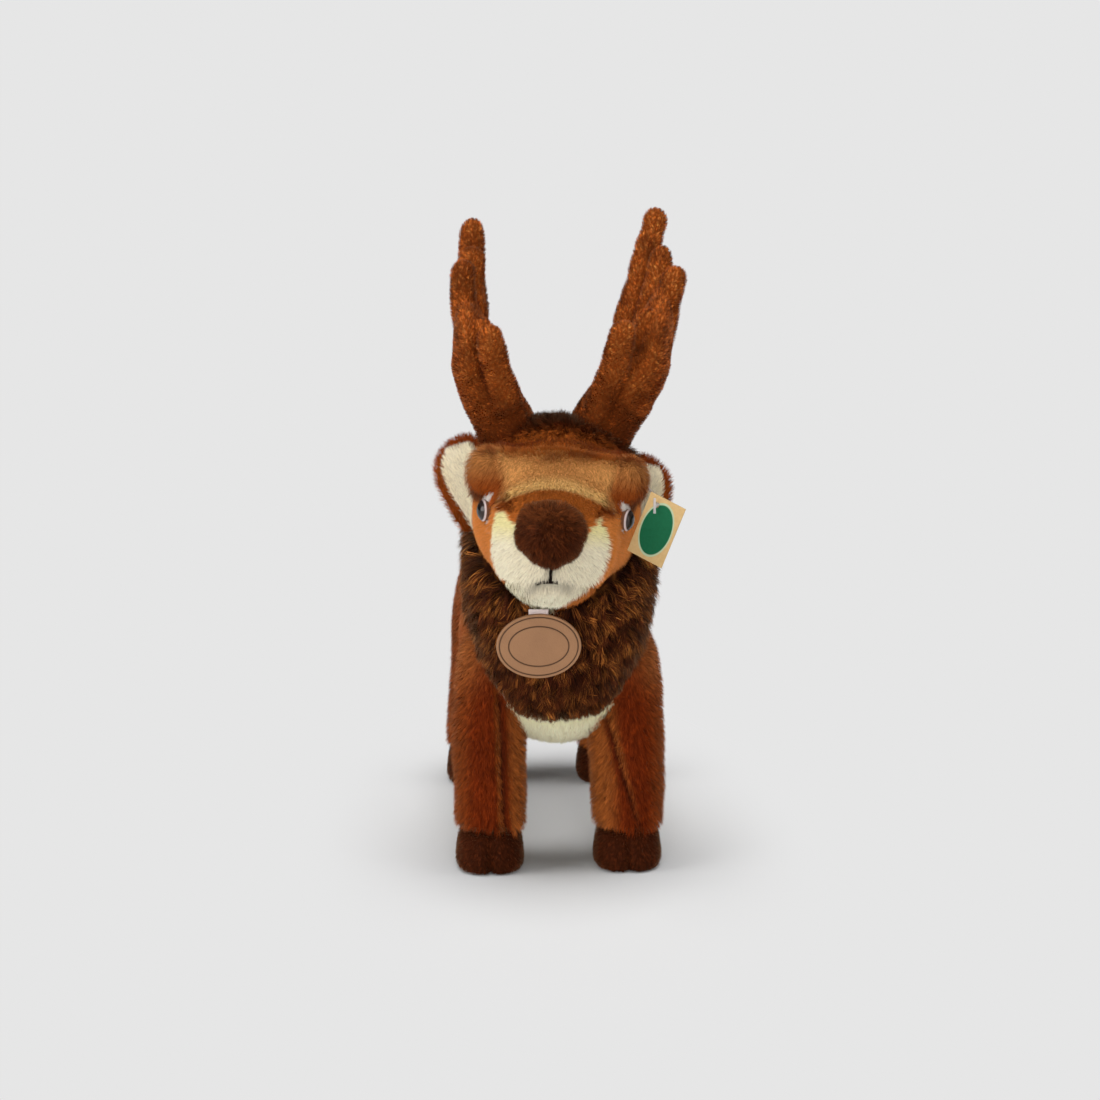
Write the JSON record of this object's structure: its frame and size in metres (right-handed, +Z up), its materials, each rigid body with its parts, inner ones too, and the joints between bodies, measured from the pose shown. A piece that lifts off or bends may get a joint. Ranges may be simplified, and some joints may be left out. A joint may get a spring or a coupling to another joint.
{
  "type": "plush deer",
  "caption": "Standing stuffed plush stag with padded palmate antlers, a dark shaggy mane, safety eyes, a hanging oval medallion and a card tag on one ear.",
  "frame": {"origin": "on the floor under the middle of the bounding box", "axes": "+Z up, -Y forwards along the gaze, +X towards the right in a front view"},
  "size_m": [0.117, 0.2614, 0.3107],
  "materials": {
    "plush": "matte",
    "tan": "matte",
    "mane": "matte",
    "cream": "matte",
    "dark": "matte",
    "antler": "matte",
    "felt": "matte",
    "thread": "satin",
    "ribbon": "satin",
    "filling": "matte",
    "leather": "satin",
    "card": "matte",
    "glass": "gloss",
    "clear": "gloss",
    "washer": "satin"
  },
  "bodies": {
    "deer": {"antler_filling_left": "filling", "antler_filling_right": "filling", "antler_left": "antler", "antler_right": "antler", "belly_panel": "cream", "brow_left": "plush", "brow_right": "plush", "chin": "cream", "crown": "mane", "ear_left": "plush", "ear_lining_left": "cream", "ear_lining_right": "cream", "ear_right": "plush", "eye_left": "glass", "eye_patch_left": "felt", "eye_patch_right": "felt", "eye_right": "glass", "eye_washer_left": "washer", "eye_washer_right": "washer", "forehead": "tan", "head_cover": "plush", "head_filling": "filling", "hoof_front_left": "dark", "hoof_front_right": "dark", "hoof_hind_left": "dark", "hoof_hind_right": "dark", "leg_filling_front_left": "filling", "leg_filling_front_right": "filling", "leg_filling_hind_left": "filling", "leg_filling_hind_right": "filling", "leg_front_left": "plush", "leg_front_right": "plush", "leg_hind_left": "plush", "leg_hind_right": "plush", "mane_cover": "mane", "mouth_thread": "thread", "muzzle": "cream", "neck_filling": "filling", "nose": "dark", "tag_tack": "clear", "tail": "plush", "torso_cover": "plush", "torso_filling": "filling"},
    "medallion_tag": {"medallion": "leather", "ribbon": "ribbon"},
    "card_tag": {"ear_tag": "card"}
  },
  "joints": [
    {"name": "medallion_swing", "type": "hinge", "parent": "deer", "child": "medallion_tag", "pos_m": [-0.01381, -0.10642, 0.137], "axis": [-1, 0, 0], "range_deg": [0, 75]},
    {"name": "card_swing", "type": "hinge", "parent": "deer", "child": "card_tag", "pos_m": [0.03989, -0.09942, 0.1834], "axis": [-0.4695, -0.8829, 0], "range_deg": [-2, 60]}
  ]
}
